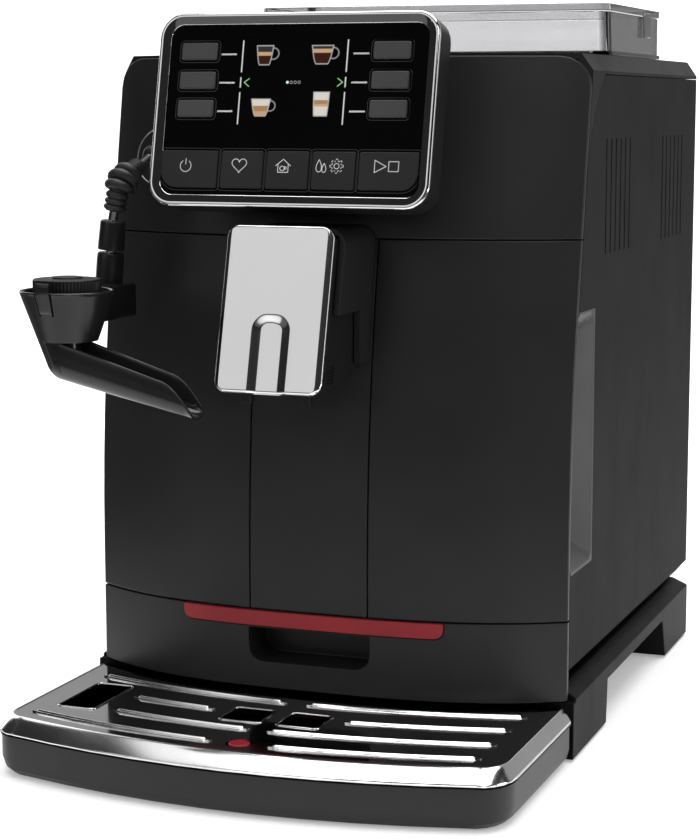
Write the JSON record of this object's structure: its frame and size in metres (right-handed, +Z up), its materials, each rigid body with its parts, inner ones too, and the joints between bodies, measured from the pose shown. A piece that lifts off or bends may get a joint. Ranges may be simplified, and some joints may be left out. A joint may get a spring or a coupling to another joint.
{
  "type": "bean to cup coffee machine",
  "caption": "Bean to cup coffee machine with a keypad around its display, a sliding coffee spout, a swinging milk frother, a hopper, a drip tray and a grounds drawer.",
  "frame": {"origin": "on the floor under the feet, at the middle of the width and of the whole depth", "axes": "+X to the viewer's right, +Y to the back, +Z up; the front faces -Y"},
  "size_m": [0.268, 0.4234, 0.383],
  "materials": {
    "charcoal": "fine satin grain",
    "side": "satin",
    "black": "satin",
    "gloss": "high gloss",
    "key": "satin",
    "glass": "dark gloss",
    "chrome": "bright",
    "steel": "polished",
    "dull": "dull",
    "red": "satin",
    "smoke": "clear smoke grey",
    "clear": "clear",
    "rubber": "matt",
    "ceramic": "matt",
    "board": "satin",
    "copper": "dull"
  },
  "bodies": {
    "housing": {"base_plinth": "black", "rubber_foot_1": "rubber", "rubber_foot_2": "rubber", "rubber_foot_3": "rubber", "rubber_foot_4": "rubber", "side_panel_left": "side", "side_panel_right": "side", "top_cover": "charcoal", "rear_panel": "charcoal", "power_inlet": "black", "front_fascia": "charcoal", "front_left_cover": "charcoal", "front_centre_column": "charcoal", "inner_chassis": "black", "control_panel_housing": "black", "control_panel_bezel": "chrome", "control_panel_face": "gloss", "display_module": "glass", "key_board": "board", "spout_guide": "charcoal", "bean_hopper": "smoke", "grinder_housing": "black", "grinder_motor": "dull", "brew_group": "black", "boiler": "dull", "pump": "copper", "wand_escutcheon": "gloss"},
    "spout": {"spout_carriage": "black", "spout_cover": "chrome", "spout_nozzle_left": "black", "spout_nozzle_right": "black"},
    "door": {"service_door": "charcoal"},
    "tray": {"drip_tray": "charcoal", "drip_grille": "steel"},
    "float": {"drip_float": "red"},
    "drawer": {"dreg_drawer": "charcoal", "drawer_accent": "red", "dregs_box": "black"},
    "tank": {"water_tank": "clear"},
    "tank_cover": {"tank_lid": "charcoal"},
    "hopper_cover": {"hopper_lid": "smoke"},
    "wand": {"wand_pipe": "chrome", "wand_grip": "rubber", "frother_sleeve": "black", "frother_holder": "gloss"},
    "regulator": {"frother_cap": "black"},
    "grind_dial": {"grind_knob": "black"},
    "burr": {"lower_burr": "ceramic"},
    "mains_rocker": {"power_switch": "black"},
    "key_power_cap": {"key_power": "key"},
    "key_favourites_cap": {"key_favourites": "key"},
    "key_home_cap": {"key_home": "key"},
    "key_care_cap": {"key_care": "key"},
    "key_start_cap": {"key_start": "key"},
    "key_left_1_cap": {"key_left_1": "key"},
    "key_left_2_cap": {"key_left_2": "key"},
    "key_left_3_cap": {"key_left_3": "key"},
    "key_right_1_cap": {"key_right_1": "key"},
    "key_right_2_cap": {"key_right_2": "key"},
    "key_right_3_cap": {"key_right_3": "key"}
  },
  "joints": [
    {"name": "spout_slide", "type": "slide", "parent": "housing", "child": "spout", "axis": [0, 0.2496, 0.9683], "range_m": [-0.055, 0]},
    {"name": "door_hinge", "type": "hinge", "parent": "housing", "child": "door", "pos_m": [0.0323, -0.1019, 0.168], "axis": [0, 0, -1], "range_deg": [0, 90]},
    {"name": "tray_slide", "type": "slide", "parent": "housing", "child": "tray", "axis": [0, -1, 0], "range_m": [0, 0.15]},
    {"name": "float_slide", "type": "slide", "parent": "tray", "child": "float", "axis": [0, 0, 1], "range_m": [0, 0.008]},
    {"name": "drawer_slide", "type": "slide", "parent": "housing", "child": "drawer", "axis": [0, -1, 0], "range_m": [0, 0.12]},
    {"name": "tank_lift", "type": "slide", "parent": "housing", "child": "tank", "axis": [0, 0, 1], "range_m": [0, 0.15]},
    {"name": "tank_lid_hinge", "type": "hinge", "parent": "tank", "child": "tank_cover", "pos_m": [-0.09625, 0.1436, 0.356], "axis": [-1, 0, 0], "range_deg": [0, 90]},
    {"name": "hopper_lid_hinge", "type": "hinge", "parent": "housing", "child": "hopper_cover", "pos_m": [0.0251, 0.1391, 0.3794], "axis": [-1, 0, 0], "range_deg": [0, 90]},
    {"name": "wand_swing", "type": "hinge", "parent": "housing", "child": "wand", "pos_m": [-0.09853, -0.07151, 0.30399], "axis": [0, 0, 1], "range_deg": [-60, 0]},
    {"name": "regulator_turn", "type": "hinge", "parent": "wand", "child": "regulator", "pos_m": [-0.1048, -0.1564, 0.237], "axis": [0, 0, 1], "range_deg": [0, 270]},
    {"name": "grind_turn", "type": "hinge", "parent": "housing", "child": "grind_dial", "pos_m": [0.03, 0.0966, 0.3], "axis": [0, 0, 1], "range_deg": [0, 300]},
    {"name": "burr_spin", "type": "hinge", "parent": "housing", "child": "burr", "pos_m": [0.03, 0.0966, 0.252], "axis": [0, 0, 1], "continuous": true},
    {"name": "mains_rocker_tilt", "type": "hinge", "parent": "housing", "child": "mains_rocker", "pos_m": [0.03, 0.2066, 0.105], "axis": [-1, 0, 0], "range_deg": [0, 20]},
    {"name": "key_power_push", "type": "slide", "parent": "housing", "child": "key_power_cap", "axis": [0, 0.9763, -0.2164], "range_m": [0, 0.001], "stiffness_N_per_m": 400},
    {"name": "key_favourites_push", "type": "slide", "parent": "housing", "child": "key_favourites_cap", "axis": [0, 0.9763, -0.2164], "range_m": [0, 0.001], "stiffness_N_per_m": 400},
    {"name": "key_home_push", "type": "slide", "parent": "housing", "child": "key_home_cap", "axis": [0, 0.9763, -0.2164], "range_m": [0, 0.001], "stiffness_N_per_m": 400},
    {"name": "key_care_push", "type": "slide", "parent": "housing", "child": "key_care_cap", "axis": [0, 0.9763, -0.2164], "range_m": [0, 0.001], "stiffness_N_per_m": 400},
    {"name": "key_start_push", "type": "slide", "parent": "housing", "child": "key_start_cap", "axis": [0, 0.9763, -0.2164], "range_m": [0, 0.001], "stiffness_N_per_m": 400},
    {"name": "key_left_1_push", "type": "slide", "parent": "housing", "child": "key_left_1_cap", "axis": [0, 0.9763, -0.2164], "range_m": [0, 0.001], "stiffness_N_per_m": 400},
    {"name": "key_left_2_push", "type": "slide", "parent": "housing", "child": "key_left_2_cap", "axis": [0, 0.9763, -0.2164], "range_m": [0, 0.001], "stiffness_N_per_m": 400},
    {"name": "key_left_3_push", "type": "slide", "parent": "housing", "child": "key_left_3_cap", "axis": [0, 0.9763, -0.2164], "range_m": [0, 0.001], "stiffness_N_per_m": 400},
    {"name": "key_right_1_push", "type": "slide", "parent": "housing", "child": "key_right_1_cap", "axis": [0, 0.9763, -0.2164], "range_m": [0, 0.001], "stiffness_N_per_m": 400},
    {"name": "key_right_2_push", "type": "slide", "parent": "housing", "child": "key_right_2_cap", "axis": [0, 0.9763, -0.2164], "range_m": [0, 0.001], "stiffness_N_per_m": 400},
    {"name": "key_right_3_push", "type": "slide", "parent": "housing", "child": "key_right_3_cap", "axis": [0, 0.9763, -0.2164], "range_m": [0, 0.001], "stiffness_N_per_m": 400}
  ]
}
